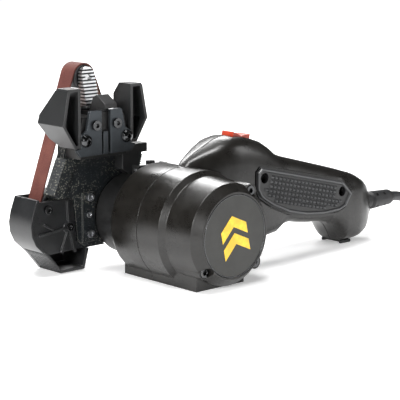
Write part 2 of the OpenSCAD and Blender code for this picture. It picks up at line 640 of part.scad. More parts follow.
module cassette_frame() {
    color("#1e1f21") difference() {
        union() {
            outline_xz(frame_y, frame_y + frame_t) polygon(web_points);
            // Tower round the sliding stem of the tension arm
            box(top_x - stem_half - 2.6, top_x + stem_half + 2.6, frame_y + 1, frame_y1, spring_seat_z - 3,
                top_z - 19);
            // Side walls along the two strands
            hull_wall(top_x - 10.6, axis_h + 70, top_x - 11.6, axis_h + 40);
            hull_wall(top_x - 11.4, axis_h + 40.6, -47.2, axis_h + 24.6);
            hull_wall(top_x + 10.6, axis_h + 70, -8, axis_h + 26);
            side_beam();
            for (p = concat(cover_screw_at, cover_small_at)) along_y(p[0], p[1], frame_y + 1, frame_y + 3.6, 3);
        }
        box(top_x - stem_half - run_gap, top_x + stem_half + run_gap, stem_y0 - run_gap, stem_y1 + run_gap,
            spring_seat_z, top_z);
        // Way for the pad and its bridge when the arm is pushed down
        box(top_x - pad_half - gap, top_x + pad_half + gap, frame_y - 1, stem_y0 + 1, pad_low_z, top_z);
        along_y(0, axis_h, frame_y - 1, frame_y + frame_t + 1, spigot_r + run_fit);
        for (p = concat(cover_screw_at, cover_small_at)) along_y(p[0], p[1], frame_y - 1, frame_y + 8, 1.2);
        along_y(idler_x, idler_z, frame_y - 1, frame_y + frame_t + 1, axle_r);
        for (p = guard_screw_at) along_y(p[0], p[1], frame_y - 1, frame_y + frame_t + 1, 1.2);
        for (s = [-1, 1]) along_y(top_x + s * block_screw_dx, block_screw_z, frame_y - 1, frame_y + frame_t + 1, 1.3);
    }
}
run_gap = 0.25;
// Bevelled bar beside the cover, drawn clockwise from its top right corner
beam_points = [[top_x - 12.7, axis_h + 40.5], [-51.6, axis_h + 15.6], [-59, axis_h + 15.6], [-62.8, axis_h + 18.7],
    [top_x - 24.3, axis_h + 40.5]];
beam_bevel = [0, 0, 3.2, 3.2, 3.2];
module side_beam() {
    polyhedron(concat([for (p = beam_points) [p[0], frame_y + frame_t, p[1]]],
        [for (i = [0 : 4]) [beam_points[i][0] + beam_bevel[i], cover_y - 1.6, beam_points[i][1]]]),
        concat([[5, 6, 7, 8, 9], [4, 3, 2, 1, 0]],
            [for (i = [0 : 4]) let(j = (i + 1) % 5) [5 + j, 5 + i, i, j]]), convexity = 2);
}
// A wall of fixed thickness from one point to another in the X-Z plane
module hull_wall(x0, z0, x1, z1) {
    v = unit([x1 - x0, z1 - z0]);
    n = [-v[1], v[0]];
    outline_xz(frame_y + 1, frame_y1)
        polygon([[x0, z0] + n, [x1, z1] + n, [x1, z1] - n, [x0, z0] - n]);
}

// Guard round the idler, open at the front, with a dust outlet below
guard_y0 = cover_y - 1.2;
guard_y1 = belt_y1 + 3.4;
guard_t = 2;
guard_floor = 0.6;
hub = [-47.8, 29.3];
guard_path = [[-72.6, 49.4], [-76.2, 40], [-77.6, 33.6], [-77, 27], [-74, 20.6], [-65, 12], [-57.4, 3],
    [-55.6, guard_floor]];
module guard_band() {
    outline_xz(guard_y0, guard_y1) difference() {
        polygon(concat(guard_path, [[-36.4, guard_floor], [-32.6, 13.6], [-50, 13.6], [-50, 49]]));
        polygon(concat([[-71, 60]], [for (p = guard_path) p + unit(hub - p) * guard_t],
            [[-37.6, guard_floor + guard_t], [-35, 12], [-35, 60]]));
    }
}
module spoke(x, z, a, reach_out) {
    translate([x, guard_y0 - 0.3, z]) rotate([0, -a, 0]) translate([3, 0, -0.8]) cube([reach_out, 1.8, 1.6]);
}
module belt_guard() {
    color("#222325") difference() {
        union() {
            guard_band();
            // Back wall behind the belt
            outline_xz(guard_y1 - 1.6, guard_y1) polygon(concat(guard_path, [[-36.4, guard_floor], [-32.6, 13.6],
                [-38, 22], [-50, 49]]));
            // Front web that bolts to the frame, with spokes from the hub
            outline_xz(cover_y, frame_y - eps) polygon([[-71.6, 47.6], [-75.4, 36], [-75.6, 28], [-72.4, 21.6],
                [-63.4, 13.4], [-41.2, 14.2], [-44, 46.4], [-52.2, 47.2]]);
            along_y(hub[0], hub[1], guard_y0, cover_y + 0.5, 4.2);
            for (a = [93, 186, 248, 285]) spoke(hub[0], hub[1], a, a == 186 ? 21 : 14);
            spoke(hub[0] - 10, hub[1] - 1.4, 150, 8);
        }
        for (p = guard_screw_at) along_y(p[0], p[1], guard_y0 - 1, frame_y + 1, 1.2);
        along_y(idler_x, idler_z, guard_y1 - 3, guard_y1 + 1, axle_r);
        // Teeth of the serrated lower edge
        for (k = [0 : 10]) along_y(-68 + 1.16 * k, 14.9 - 1.31 * k, guard_y0 - 1, guard_y1 - 3, 0.72);
    }
}
guard_screw_at = [hub, [-64, 42.4]];
module guard_screws() {
    color("#6f7276") {
        screw_y(hub[0], hub[1], guard_y0 - 1.2, frame_y + frame_t, 1.2, 2.4, 1.2);
        screw_y(-64, 42.4, cover_y - 2, frame_y + frame_t, 1.2, 2.8, 2);
    }
}
module idler_axle() {
    color("silver") {
        along_y(idler_x, idler_z, frame_y, guard_y1, axle_r);
        along_y(idler_x, idler_z, frame_y + frame_t, pulley_y0 - 0.4, axle_r + 1.2);
    }
}
module roller(x, z, r) {
    difference() {
        union() {
            along_y(x, z, pulley_y0, pulley_y1, r - 0.3);
            along_y(x, z, belt_y + 2, belt_y1 - 2, r);
        }
        along_y(x, z, pulley_y0 - 1, pulley_y1 + 1, axle_r + run_fit);
        for (y = [pulley_y0 - 1, pulley_y1 - 1]) difference() {
            along_y(x, z, y, y + 2, r - 1.8);
            along_y(x, z, y - 1, y + 3, axle_r + 2);
        }
    }
}
module idler_roller() { color("#2a2a2c") roller(idler_x, idler_z, idler_r); }
module top_roller() { color("#2a2a2c") roller(top_x, top_z, top_r); }

// Belt: the outline of the three pulleys, grown by its thickness
function tangent(a, b, ra, rb) = let(v = b - a, d = norm(v), u = v / d, n = [u[1], -u[0]],
    s = (ra - rb) / d, c = sqrt(1 - s * s), w = u * s + n * c) [a + w * ra, b + w * rb];
module loop_outline(grow) {
    c = [[0, axis_h], [top_x, top_z], [idler_x, idler_z]];
    r = [drive_r + grow, top_r + grow, idler_r + grow];
    for (i = [0 : 2]) translate(c[i]) circle(r = r[i], $fn = 96);
    polygon([for (i = [0 : 2]) let(j = (i + 1) % 3) each tangent(c[i], c[j], r[i], r[j])]);
}
belt_ease = 0.12;
module sanding_belt() {
    color("#7a3a33") outline_xz(belt_y, belt_y1) difference() {
        loop_outline(belt_t + belt_ease);
        loop_outline(belt_ease);
    }
}

// Tension arm: a ribbed thumb pad in front of the roller, a fork and a stem in the tower
pad_half = 5.2;
pad_top_z = top_z + 6.6;
pad_bottom_z = top_z - 18.6;
module tension_arm() {
    color("#c4c7ca") difference() {
        union() {
            // Thumb pad, leaning forward towards its lower end
            difference() {
                outline_xz(pad_front_low, pulley_y0 - 0.5) {
                    translate([top_x, top_z + 1.4]) circle(r = pad_half);
                    translate([top_x - pad_half, pad_bottom_z]) square([2 * pad_half, top_z + 1.4 - pad_bottom_z]);
                }
                translate([top_x - 10, 0, 0]) rotate([90, 0, 90]) linear_extrude(20) polygon([
                    [pad_front_low - 0.01, pad_bottom_z + 2], [pulley_y0 - 2.3, pad_top_z + 4],
                    [pad_front_low - 8, pad_top_z + 4], [pad_front_low - 8, pad_bottom_z + 2]]);
            }
            // Stem behind the pad, inside the tower
            box(top_x - stem_half, top_x + stem_half, stem_y0, stem_y1, stem_z0, top_z - top_r - belt_t - 1.6);
            box(top_x - stem_half, top_x + stem_half, pulley_y0 - 3, stem_y0 + 1, top_z - 18.4,
                top_z - top_r - belt_t - 1.6);
        }
        along_y(top_x, top_z, pad_front_low - 1, pulley_y1, axle_r);
        for (k = [0 : 10]) translate([top_x - 10, pad_face(k) - 1, pad_bottom_z + 1.6 + 2.1 * k])
            cube([20, 1.9, 1.05]);
        translate([top_x, (stem_y0 + stem_y1) / 2, stem_z0 - 1]) cylinder(h = 7, r = spring_r + 0.5);
    }
}
pad_front_low = pulley_y0 - 8.8;
pad_low_z = pad_bottom_z - tension_travel - 1;
function pad_face(k) = pad_front_low + (pulley_y0 - 2.3 - pad_front_low) * (0.4 + 2.1 * k) / (pad_top_z + 2 - pad_bottom_z);
module top_axle() {
    color("silver") {
        along_y(top_x, top_z, pulley_y0 - 3.2, pulley_y1 + 0.5, axle_r);
        along_y(top_x, top_z, pulley_y1 + 0.5, pulley_y1 + 1.1, axle_r + 1.4);
    }
}
// Coil spring between the seat in the tower and the stem
spring_wire = 0.6;
spring_turns = 8;
module tension_spring() {
    z0 = spring_seat_z + spring_wire;
    z1 = stem_z0 + 6 - spring_wire;
    n = spring_turns * 12;
    cy = (stem_y0 + stem_y1) / 2;
    points = [for (i = [0 : n]) let(a = 360 * i * spring_turns / n, z = z0 + (z1 - z0) * i / n)
        for (k = [0 : 5]) let(r = spring_r - spring_wire + spring_wire * cos(60 * k))
            [top_x + r * cos(a), cy + r * sin(a), z + spring_wire * sin(60 * k)]];
    sides = [for (i = [0 : n - 1]) for (k = [0 : 5]) let(j = (k + 1) % 6) each [
        [i * 6 + k, i * 6 + j, (i + 1) * 6 + j], [i * 6 + k, (i + 1) * 6 + j, (i + 1) * 6 + k]]];
    color("silver") polyhedron(points, concat(sides, [[for (k = [5 : -1 : 0]) k], [for (k = [0 : 5]) n * 6 + k]]),
        convexity = 10);
}

// Toothed quadrant beside the guide, with a stop at its upper end
module toothed_arc() {
    color("#151618") difference() {
        union() {
            outline_xz(arc_y0, cover_y) polygon([[-9.6, axis_h + 30], [-9.6, axis_h + 40.4], [tooth_x1 - 6.4, tooth_z1 + 7],
                [tooth_x1 + 4.6, tooth_z1 + 7], [tooth_x1 + 4.6, tooth_z1 + 1.2], [tooth_x1, tooth_z1 + 1.2],
                [tooth_x0, tooth_z0], [tooth_x0 - 3, axis_h + 24]]);
            // Teeth along the slanted edge
            for (k = [0 : 7]) let(t = (k + 0.4) / 8, x = tooth_x0 + (tooth_x1 - tooth_x0) * t, z = tooth_z0 + (tooth_z1 - tooth_z0) * t)
                outline_xz(arc_y0, cover_y - 3) polygon([[x - 0.6, z - 0.9], [x + 1.4, z + 0.1], [x - 0.4, z + 0.9]]);
        }
        along_y(0, axis_h, arc_y0 - 1, cover_y + 1, neck_r + gap);
    }
}

// Blade guide: a block in front of the cassette carries two tilting halves
pivot_dx = 16.3;
pivot_z = axis_h + 52.9;
clamp_dx = 8.3;
clamp_z = axis_h + 61.8;
block_screw_dx = 13.6;
block_screw_z = axis_h + 48.4;
shoulder_r = 2;
block_z0 = axis_h + 41;
module guide_block() {
    color("#17181a") difference() {
        outline_xz(block_y, frame_y - eps) difference() {
            polygon([[top_x - 18.6, block_z0], [top_x - 18.6, pivot_z + 5.4], [top_x - 16.6, axis_h + 67],
                [top_x - 6, axis_h + 67], [top_x - 6, axis_h + 69.6], [top_x + 6, axis_h + 69.6],
                [top_x + 6, axis_h + 67], [top_x + 16.6, axis_h + 67], [top_x + 18.6, pivot_z + 5.4],
                [top_x + 18.6, block_z0]]);
        }
        outline_xz(cover_y - gap, frame_y + 1) polygon([[top_x - 14, block_z0 - 1], [top_x - 14, axis_h + 45 + gap],
            [2, axis_h + 45 + gap], [2, block_z0 - 1]]);
        box(top_x - pad_half - gap, top_x + pad_half + gap, pad_front_low - 0.6, frame_y + 1, pad_low_z, top_z);
        for (s = [-1, 1]) {
            along_y(top_x + s * pivot_dx, pivot_z, block_y - 1, block_y + 12, shoulder_r);
            along_y(top_x + s * clamp_dx, clamp_z, block_y - 1, block_y + 9, screw_r + 1.3);
            along_y(top_x + s * block_screw_dx, block_screw_z, block_y - 1, frame_y + 1, 1.3);
            along_y(top_x + s * block_screw_dx, block_screw_z, block_y - 1, block_y + 3, 2.8);
        }
    }
}
module block_screws() {
    color("#6f7276") for (s = [-1, 1])
        screw_y(top_x + s * block_screw_dx, block_screw_z, block_y + 0.6, frame_y + frame_t, 1.3, 2.6, 2.2);
}
module guide_pivots() {
    color("#7c8085") for (s = [-1, 1]) difference() {
        union() {
            along_y(top_x + s * pivot_dx, pivot_z, guide_y - 0.5, block_y + 11, shoulder_r);
            translate([top_x + s * pivot_dx, guide_y - 0.4, pivot_z]) rotate([-90, 0, 0])
                rotate_extrude() polygon([[0, -2.8], [1.8, -2.6], [3.4, -1.6], [4.1, 0], [0, 0]]);
        }
        translate([top_x + s * pivot_dx, guide_y - 5, pivot_z]) rotate([-90, 0, 0]) cylinder(h = 3.4, r = 1.7, $fn = 6);
    }
}
// Right half, as an outline from the middle of the guide outwards
slot_half = 3.6;
module plate_outline() {
    polygon([[slot_half, block_z0 + 2.2], [slot_half, axis_h + 70.8], [11.6, axis_h + 71], [12.8, axis_h + 70],
        [15.2, axis_h + 59], [wing_in, pivot_z + 3], [wing_in, pivot_z - 4.6], [23.4, pivot_z - 5.4],
        [20.6, block_z0 + 2.2]]);
}
module wing_section(inset) {
    z0 = pivot_z - 4.4;
    polygon([[wing_in + inset, z0 + inset], [wing_in + inset, z0 + wing_h - inset],
        [wing_in + 8.6 - inset / 2, z0 + wing_h - inset], [wing_in + 9.8 - inset, z0 + wing_h - 1.6 - inset / 2],
        [wing_in + 13.8 - inset, z0 + 14.6], [wing_in + 4.8 - inset / 2, z0 + inset]]);
}
module guide_plate() {
    difference() {
        outline_xz(guide_y, guide_y + plate_t) plate_outline();
        along_y(pivot_dx, pivot_z, guide_y - 1, guide_y + plate_t + 1, shoulder_r + run_fit);
        along_y(clamp_dx, clamp_z, guide_y - 1, guide_y + plate_t + 1, screw_r);
    }
}
module guide_wing() {
    z0 = pivot_z - 4.4;
    back = guide_y + 26.4;
    difference() {
        outline_xz(guide_y, back) wing_section(0);
        outline_xz(guide_y - 1, back + 1) wing_section(wing_wall);
        // Slanted back, deepest at the widest corner
        rotate([90, 0, 90]) linear_extrude(80) polygon([
            [guide_y + 10.6, z0 + wing_h + 1], [back, z0 + wing_h - 18.4], [back + 3, z0 + wing_h - 18.4],
            [back + 3, z0 + wing_h + 1]]);
        rotate([90, 0, 90]) linear_extrude(80) polygon([
            [guide_y + 13.5, z0 - 1], [back, z0 + 7.4], [back + 3, z0 + 7.4], [back + 3, z0 - 1]]);
        // Back slanted towards the belt, so that the belt runs clear
        translate([0, 0, z0 - 10]) linear_extrude(wing_h + 20) polygon([[wing_in - 1, frame_y - 1.2],
            [wing_in + 13.8, back - 0.4], [wing_in + 13.8, back + 8], [wing_in - 1, back + 8]]);
    }
    // Web across the middle of the wing
    outline_xz(guide_y + 12, guide_y + 13.6) difference() {
        wing_section(wing_wall - 0.2);
        translate([0, z0 + wing_h - 6]) square([60, 20]);
    }
}
module guide_screw() {
    difference() {
        union() {
            along_y(clamp_dx, clamp_z, guide_y - 1.8, guide_y, screw_head_r);
            along_y(clamp_dx, clamp_z, guide_y - eps, block_y + 7, screw_r);
        }
        translate([clamp_dx, guide_y - 2, clamp_z]) rotate([-90, 0, 0]) cylinder(h = 1.4, r = 1.5, $fn = 6);
    }
}
module right_half() { translate([top_x, 0, 0]) children(); }
module left_half() { translate([top_x, 0, 0]) mirror([1, 0, 0]) children(); }
module left_guide_plate() { color("#3e444a") left_half() guide_plate(); }
module right_guide_plate() { color("#3e444a") right_half() guide_plate(); }
module left_wing() { color("#2c2d2f") left_half() guide_wing(); }
module right_wing() { color("#2c2d2f") right_half() guide_wing(); }
module left_guide_screw() { color("#6f7276") left_half() guide_screw(); }
module right_guide_screw() { color("#6f7276") right_half() guide_screw(); }
// Sloping stop between the blades
module blade_stop() {
    color("#1a1b1d") translate([top_x - 4.6, 0, 0]) rotate([90, 0, 90]) linear_extrude(9.2) polygon([
        [guide_y - 4.6, axis_h + 72.2], [guide_y - 4.6, axis_h + 75], [guide_y + 3.4, axis_h + 80.2],
        [guide_y + 7, axis_h + 78.8], [guide_y + 11.4, axis_h + 69.6], [block_y + 0.4, axis_h + 69.6],
        [block_y + 0.4, axis_h + 72.2]]);
}
module angle_pointer() {
    color("#55585c") box(top_x - 2, top_x + 1.6, guide_y + 0.2, block_y, block_z0 + 2.2, axis_h + 57.4);
}

front_shell();
rear_shell();
badge();
front_grip();
rear_grip();
housing_screws();
handle_screws();
heel_pad();
field_stator();
brush_holders();
carbon_brushes();
front_bearing();
rear_bearing();
switch_body();
neck_collar();
strain_relief();
cord_tube();
cord_coil();
cord_tail();
cord_tie();
plug_body();
plug_blades();
motor_shaft();
armature();
commutator();
cooling_fan();
drive_pulley();
switch_rocker();
release_lever();
lever_pin();
cassette_frame();
cassette_cover();
cover_screws();
belt_guard();
guard_screws();
idler_axle();
toothed_arc();
guide_block();
block_screws();
guide_pivots();
blade_stop();
angle_pointer();
sanding_belt();
tension_spring();
idler_roller();
tension_arm();
top_axle();
top_roller();
left_guide_plate();
left_wing();
left_guide_screw();
right_guide_plate();
right_wing();
right_guide_screw();
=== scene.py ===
# %% [markdown]
# # A belt sander for blades, finished in Blender
# The engineering model arrives as a fixed frame: every part is already in place and in metres.
# This lesson adds the camera, the light, the cord as a real flexible line, and a finish for each part.

# %% Load the frame
import math

import bpy
from mathutils import Euler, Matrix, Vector


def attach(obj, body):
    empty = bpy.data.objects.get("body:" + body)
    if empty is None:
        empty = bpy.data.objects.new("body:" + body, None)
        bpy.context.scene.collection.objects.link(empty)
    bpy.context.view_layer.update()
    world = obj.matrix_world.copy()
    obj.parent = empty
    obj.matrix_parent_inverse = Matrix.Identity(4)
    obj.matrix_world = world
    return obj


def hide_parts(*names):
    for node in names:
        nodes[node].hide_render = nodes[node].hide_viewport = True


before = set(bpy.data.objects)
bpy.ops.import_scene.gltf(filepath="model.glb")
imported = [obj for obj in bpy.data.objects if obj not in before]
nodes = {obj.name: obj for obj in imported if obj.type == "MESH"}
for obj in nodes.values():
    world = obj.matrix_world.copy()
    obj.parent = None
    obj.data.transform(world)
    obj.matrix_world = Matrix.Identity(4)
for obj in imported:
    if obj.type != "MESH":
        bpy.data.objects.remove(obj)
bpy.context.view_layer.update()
MM = 0.001
print("parts in the frame:", len(nodes))

# %% [markdown]
# ## Places that several steps share
# They are the design's own dimensions: the motor axis runs along Y at a fixed height, and the two
# moulded shells meet on one plane.

# %% Shared places, in millimetres
AXIS_H = 32.5
SEAM_Y = 7.0
CAP_Y = -42.2
BADGE_R = 25.6
GRIP_FACE = 18.7
GRIP_SCREWS = [(55.5, 57.2), (129.6, 39.3)]
print("motor axis height:", AXIS_H, "mm")

# %% [markdown]
# ## Camera
# A long lens a metre away keeps the perspective gentle, as in a catalogue. The camera looks
# along the tool's diagonal and a little down, with no roll, so upright edges stay upright.

# %% Make the camera
def make_camera(place, azimuth, pitch, lens):
    data = bpy.data.cameras.new("camera")
    data.lens = lens
    data.sensor_width = 36
    data.clip_start = 0.02
    data.clip_end = 20
    camera = bpy.data.objects.new("camera", data)
    camera.location = [v * MM for v in place]
    camera.rotation_euler = Euler((math.radians(90 - pitch), 0, math.radians(-azimuth)))
    bpy.context.scene.collection.objects.link(camera)
    bpy.context.scene.camera = camera
    return camera


camera = make_camera((-613.4, -676.4, 226.0), 42.67, 10.99, 135)
print("camera looks along", [round(v, 3) for v in camera.matrix_basis.to_3x3() @ Vector((0, 0, -1))])

# %% [markdown]
# ## Cord
# A mains lead is one flexible line of fixed length, so it is one curve: straight out of the strain
# relief, down to the floor under its own weight, and then into a neat stored coil beside the tool.
# The coil is wound as two layers of three turns and one turn on top, so no turn passes through another.

# %% Wind the cord
CORD_R = 3.4
COIL_AT = (355.0, 6.0)
COLUMNS = (48.0, 41.0, 34.0)
LAYERS = (3.5, 10.5, 17.5)
LEAD = [(199.9, 7, 24), (203, 7, 23.9), (206, 7, 23.7), (210, 7, 23.1), (214, 7, 22.2), (218, 7.1, 21.1),
        (222, 7.2, 19.6), (226, 7.4, 18), (230, 7.6, 16.2), (234, 7.8, 14.4), (238, 8, 12.6),
        (242, 8.2, 10.8), (246, 8.3, 9.2), (250, 8.3, 7.8), (254, 8.3, 6.6),
        (258, 8.1, 5.5), (262, 7.6, 4.6), (270, 5.8, 3.7),
        (278, 2.4, 3.5), (286, -2.8, 3.5), (293, -8.8, 3.5), (300, -15.6, 3.5), (308, -23.4, 3.5),
        (318.2, -31.4, 3.5), (329.2, -37, 3.5)]
TAIL = [(355, -42, 17.5), (365, -42, 17.3), (375, -41.8, 16.1), (385, -41.4, 13.7), (395, -40.8, 10.6),
        (404, -40.2, 8), (414, -40, 7)]


def eased(t):
    t = min(1, max(0, t))
    return t * t * (3 - 2 * t)


def coil_point(turn_deg):
    """The coil starts at 253 degrees; each step moves the line to the next column or layer."""
    outer, middle, inner = COLUMNS
    low, mid, top = LAYERS
    r = outer + (middle - outer) * eased((turn_deg - 560) / 53)
    r += (inner - middle) * eased((turn_deg - 920) / 53)
    r += (middle - inner) * eased((turn_deg - 1500) / 60)
    r += (outer - middle) * eased((turn_deg - 1860) / 60)
    z = low + (mid - low) * eased((turn_deg - 1200) / 95) + (top - mid) * eased((turn_deg - 2120) / 95)
    a = math.radians(turn_deg)
    return (COIL_AT[0] + r * math.cos(a), COIL_AT[1] + r * math.sin(a), z)


COIL_START_DEG, COIL_STEP_DEG, COIL_STEPS = 253, 10, 217
cord_line = LEAD + [coil_point(COIL_START_DEG + COIL_STEP_DEG * k) for k in range(COIL_STEPS)] + TAIL
cord_length = sum(math.dist(a, b) for a, b in zip(cord_line, cord_line[1:])) * MM


def make_curve(name, points, radius, bevel_steps=5):
    data = bpy.data.curves.new(name, "CURVE")
    data.dimensions = "3D"
    data.bevel_depth = 1
    data.bevel_resolution = bevel_steps
    data.use_fill_caps = True
    spline = data.splines.new("POLY")
    spline.points.add(len(points) - 1)
    for spot, p in zip(spline.points, points):
        spot.co = (p[0] * MM, p[1] * MM, p[2] * MM, 1)
        spot.radius = radius * MM
    spline.use_smooth = True
    piece = bpy.data.objects.new(name, data)
    bpy.context.scene.collection.objects.link(piece)
    return piece


cord = make_curve("mains_cord", cord_line, CORD_R)
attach(cord, "housing")
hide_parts("cord_tube", "cord_coil", "cord_tail")
print("cord length:", round(cord_length, 3), "m")

# %% [markdown]
# ## Writing shader maths as plain expressions
# A shader node tree is a formula. A small class wraps a socket and overloads the operators, so
# `1 - mask` or `noise * 0.2 + 0.5` adds the Math nodes by itself. Every other node comes from one method.

# %% The formula classes
class Value:
    """One socket whose number varies over the surface."""

    def __init__(self, finish, socket):
        self.finish = finish
        self.socket = socket

    def _maths(self, operation, first, second):
        return self.finish.node("ShaderNodeMath", {"operation": operation}, [first, second])

    def __add__(self, other):
        return self._maths("ADD", self, other)

    __radd__ = __add__

    def __sub__(self, other):
        return self._maths("SUBTRACT", self, other)

    def __rsub__(self, other):
        return self._maths("SUBTRACT", other, self)

    def __mul__(self, other):
        return self._maths("MULTIPLY", self, other)

    __rmul__ = __mul__

    def __truediv__(self, other):
        return self._maths("DIVIDE", self, other)

    def __gt__(self, other):
        return self._maths("GREATER_THAN", self, other)

    def __pow__(self, other):
        return self._maths("POWER", self, other)


class Finish:
    """A material, its node tree and its one surface shader."""

    def __init__(self, name, **constants):
        self.material = bpy.data.materials.new(name)
        self.material.use_nodes = True
        self.tree = self.material.node_tree
        self.shader = self.tree.nodes["Principled BSDF"]
        for key, value in constants.items():
            socket = self.shader.inputs[key.replace("_", " ").title().replace("Ior", "IOR")]
            socket.default_value = (*value, 1) if isinstance(value, tuple) else value

    def node(self, kind, settings, values, output=0):
        made = self.tree.nodes.new(kind)
        for key, value in settings.items():
            if key == "stops":
                ramp = made.color_ramp
                while len(ramp.elements) < len(value):
                    ramp.elements.new(0.5)
                for element, (position, colour) in zip(ramp.elements, value):
                    element.position = position
                    element.color = (*colour, 1)
            else:
                setattr(made, key, value)
        pairs = values.items() if isinstance(values, dict) else enumerate(values)
        for key, value in pairs:
            if isinstance(value, Value):
                self.tree.links.new(value.socket, made.inputs[key])
            elif value is not None:
                made.inputs[key].default_value = value
        return Value(self, made.outputs[output])

    def feed(self, name, value):
        self.tree.links.new(value.socket, self.shader.inputs[name])
        return self

    def place(self):
        return self.node("ShaderNodeTexCoord", {}, {}, "Object")

    def noise(self, scale, detail=3.0, rough=0.55, vector=None):
        return self.node("ShaderNodeTexNoise", {}, {"Vector": vector or self.place(), "Scale": scale,
                                                    "Detail": detail, "Roughness": rough}, "Fac")

    def stretched(self, scale):
        return self.node("ShaderNodeMapping", {}, {"Vector": self.place(), "Scale": scale})

    def cells(self, scale, output="Distance"):
        return self.node("ShaderNodeTexVoronoi", {}, {"Vector": self.place(), "Scale": scale}, output)

    def mix(self, amount, first, second):
        def colour(c):
            return c if isinstance(c, Value) else (*c, 1)
        sockets = {0: amount, 6: colour(first), 7: colour(second)}
        return self.node("ShaderNodeMix", {"data_type": "RGBA"}, sockets, 2)

    def ramp(self, value, low, high):
        """Goes from 0 to 1 as the value goes from low to high."""
        return self.node("ShaderNodeMapRange", {"interpolation_type": "SMOOTHSTEP"},
                         [value, low, high, 0.0, 1.0])

    def round_edges(self, radius):
        return self.node("ShaderNodeBevel", {"samples": 6}, {"Radius": radius * MM})

    def bump(self, height, depth, normal=None):
        """Depth is the true height of the relief in millimetres."""
        return self.node("ShaderNodeBump", {}, {"Strength": 1.0, "Distance": depth * MM, "Height": height,
                                                "Normal": normal})

    def edge_wear(self, radius):
        """1 along sharp outer and inner edges, 0 on flat faces."""
        rounded = self.round_edges(radius)
        plain = self.node("ShaderNodeNewGeometry", {}, {}, "Normal")
        alike = self.node("ShaderNodeVectorMath", {"operation": "DOT_PRODUCT"}, [rounded, plain], "Value")
        return self.ramp(1 - alike, 0.02, 0.25)


print("formula classes are ready")

# %% [markdown]
# ## Moulded plastic
# A glass-filled nylon housing is nearly black. What makes it read as plastic is a fine spark-eroded
# grain, a broad soft gloss, corners that are never perfectly sharp, and a little handling polish that
# changes the gloss from place to place. Noise at two scales gives the grain and the polish.

# %% Plastics and rubbers
def moulded(name, colour, roughness, grain_mm=0.45, grain_depth=0.035, edge=0.6, lighter=1.5):
    finish = Finish(name, specular_ior_level=0.5)
    cloud = finish.noise(38, 4)
    smudge = finish.noise(110, 5, 0.7)
    grain = finish.noise(1000 / grain_mm, 2, 0.6)
    wear = finish.edge_wear(edge)
    lit = tuple(min(1, c * lighter + 0.018) for c in colour)
    base = finish.mix(finish.ramp(smudge, 0.35, 0.75), colour, tuple(c * 1.6 + 0.002 for c in colour))
    finish.feed("Base Color", finish.mix(wear * 0.75, base, lit))
    polish = (cloud - 0.5) * 0.2 + (smudge - 0.5) * 0.12 + (grain - 0.5) * 0.1
    finish.feed("Roughness", polish + roughness - wear * 0.06)
    finish.feed("Normal", finish.bump(grain, grain_depth, finish.round_edges(edge)))
    return finish.material


housing_black = moulded("housing_black", (0.0062, 0.0055, 0.0046), 0.3)
neck_black = moulded("neck_black", (0.006, 0.006, 0.006), 0.44, 0.6, 0.03)
print("shell plastics:", housing_black.name, neck_black.name)

# %% [markdown]
# ## Grip rubber
# The tips of the grip's pyramids are coloured lighter as a painted highlight. The tips stand further from
# the joint plane than the floor between them, so the distance along Y alone can turn the colour from dark to
# the lighter highlight colour. It follows the real relief, with no texture pattern to line up.

# %% Grip rubber and the other small mouldings
GRIP_RISE = 1.3


def grip_rubber(name, low, top, roughness):
    """Rubber with a painted highlight: the tips of its pyramids are coloured lighter and made glossier."""
    finish = Finish(name, specular_ior_level=0.5)
    across = finish.node("ShaderNodeSeparateXYZ", {}, [finish.place()], "Y")
    out = finish.node("ShaderNodeMath", {"operation": "ABSOLUTE"}, [across - SEAM_Y * MM])
    tip_highlight = finish.ramp(out, (GRIP_FACE - 0.2) * MM, (GRIP_FACE + GRIP_RISE) * MM)
    cloud = finish.noise(60, 4)
    # The pyramid tips take the lighter top colour: a painted highlight.
    finish.feed("Base Color", finish.mix(tip_highlight, low, top))
    finish.feed("Roughness", roughness + (cloud - 0.5) * 0.2 - tip_highlight * 0.08)
    finish.feed("Normal", finish.bump(finish.noise(2400, 2), 0.01, finish.round_edges(0.15)))
    return finish.material


grip_grey = grip_rubber("grip_grey", (0.008, 0.008, 0.0085), (0.075, 0.077, 0.08), 0.42)
soft_black = moulded("soft_black", (0.014, 0.014, 0.015), 0.55, 0.3, 0.02, 0.3)
rocker_red = moulded("rocker_red", (0.42, 0.045, 0.02), 0.36, 0.5, 0.012, 0.4, 1.15)
fan_nylon = moulded("fan_nylon", (0.55, 0.55, 0.5), 0.45)
cord_vinyl = moulded("cord_vinyl", (0.018, 0.019, 0.021), 0.42, 0.8, 0.02, 0.2)
roller_rubber = moulded("roller_rubber", (0.015, 0.015, 0.016), 0.6, 0.4, 0.03)
print("small mouldings:", grip_grey.name, rocker_red.name)

# %% [markdown]
# ## Textured paint on the cassette
# The cassette plate is cast and coated with a coarse dark paint, so light catches on many small flecks.
# Cells give the raised flecks, and a slow noise thins them out in patches and varies the gloss.

# %% Painted metal
def textured_paint(name, colour, fleck, roughness, cell_mm=1.1, depth=0.12):
    finish = Finish(name, specular_ior_level=0.55)
    cells = finish.cells(1000 / cell_mm)
    cloud = finish.noise(60, 5)
    dots = finish.ramp(cells, 0.42, 0.12)
    mask = dots * finish.ramp(cloud, 0.36, 0.6)
    wear = finish.edge_wear(0.5)
    finish.feed("Base Color", finish.mix(mask * 0.8 + wear * 0.3, colour, fleck))
    finish.feed("Roughness", roughness + (cloud - 0.5) * 0.2 - mask * 0.1)
    finish.feed("Normal", finish.bump(dots + cloud * 0.6, depth, finish.round_edges(0.5)))
    return finish.material


def smooth_paint(name, colour, roughness, depth=0.02):
    finish = Finish(name, specular_ior_level=0.6)
    grain = finish.noise(1600, 3)
    cloud = finish.noise(45, 4)
    wear = finish.edge_wear(0.5)
    finish.feed("Base Color", finish.mix(wear, colour, tuple(c * 2.2 + 0.02 for c in colour)))
    finish.feed("Roughness", roughness + (cloud - 0.5) * 0.2)
    finish.feed("Normal", finish.bump(grain, depth, finish.round_edges(0.5)))
    return finish.material


